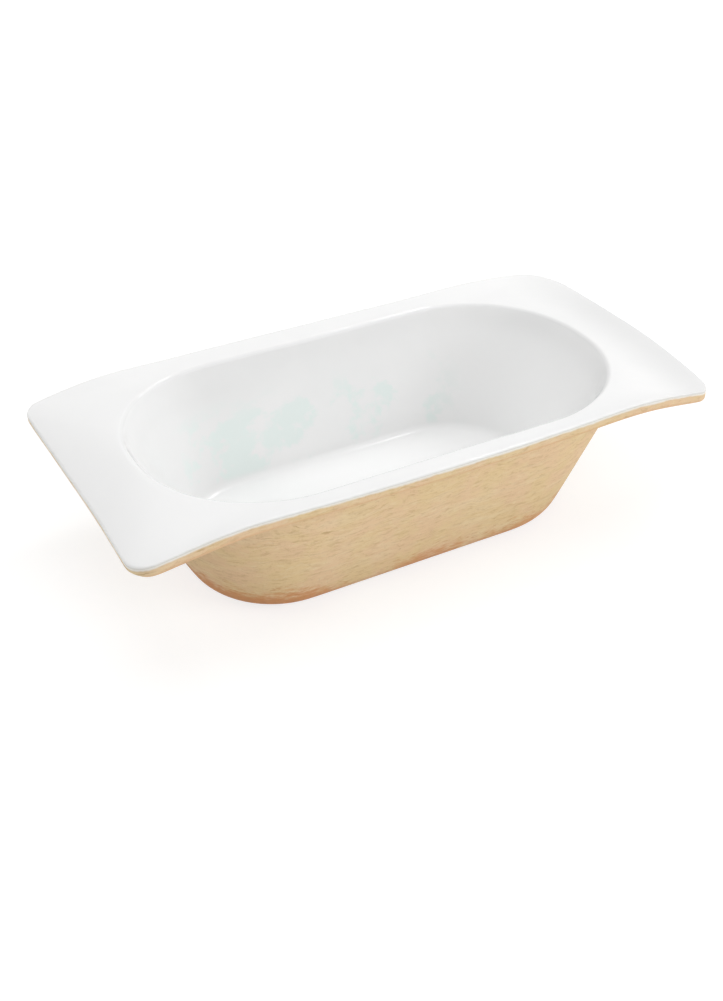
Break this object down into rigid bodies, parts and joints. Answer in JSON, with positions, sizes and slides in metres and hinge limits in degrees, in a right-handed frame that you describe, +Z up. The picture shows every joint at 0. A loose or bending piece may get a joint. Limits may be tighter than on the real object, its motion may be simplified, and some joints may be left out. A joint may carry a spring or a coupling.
{
  "type": "dough bowl",
  "caption": "Long hand-formed stoneware dough bowl with a deep round-ended well, a wide four-cornered drooping rim, bare tan clay outside and white glaze inside.",
  "frame": {"origin": "middle of the rim's outline, brought down to the flat underside that the bowl stands on", "axes": "+X along the length, +Y across the width, away from the side shown in the picture, +Z up"},
  "size_m": [0.51, 0.2506, 0.1211],
  "materials": {
    "raw_clay": "unglazed fired clay with a brushed tan wash, matt",
    "white_glaze": "glossy white glaze with a faint green tint where it pools"
  },
  "bodies": {
    "root": {"clay_body": "raw_clay", "glaze_coat": "white_glaze"}
  },
  "joints": []
}
